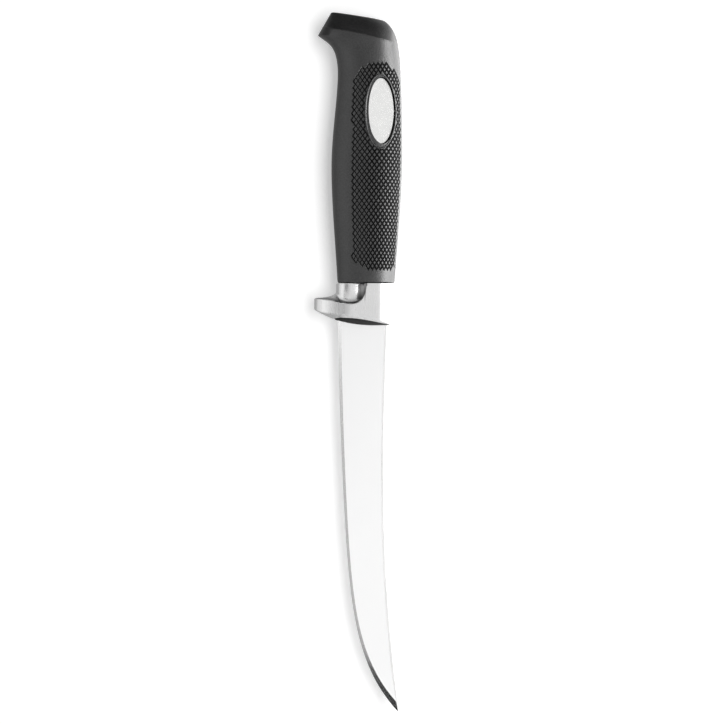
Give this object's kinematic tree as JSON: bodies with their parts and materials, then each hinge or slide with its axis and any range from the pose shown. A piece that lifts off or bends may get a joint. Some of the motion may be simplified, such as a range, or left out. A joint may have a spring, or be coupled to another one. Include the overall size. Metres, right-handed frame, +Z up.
{
  "type": "carving knife",
  "caption": "Fixed-blade carving knife with a slender trailing blade, steel bolster with finger guard, and black rubber grip with checkered sides, beaked pommel and oval plate.",
  "frame": {"origin": "centre of the bounding box on the surface that the knife lies on", "axes": "+X from the cutting edge towards the spine, +Y from the tip towards the pommel, +Z up through the thickness, out of the side with the oval plate"},
  "size_m": [0.0349, 0.2778, 0.0195],
  "materials": {
    "blade_steel": "satin ground, finer on the cutting bevel",
    "bolster_steel": "polished, with fine lengthwise brushing on the flats",
    "seal_rubber": "matt black",
    "core_plastic": "as moulded",
    "grip_rubber": "satin black, checkered on both sides",
    "badge_metal": "satin, bare",
    "adhesive_film": "translucent film"
  },
  "bodies": {
    "root": {"blade": "blade_steel", "bolster": "bolster_steel", "bolster_seal": "seal_rubber", "handle_core": "core_plastic", "grip": "grip_rubber", "badge_plate": "badge_metal", "badge_adhesive": "adhesive_film"}
  },
  "joints": []
}
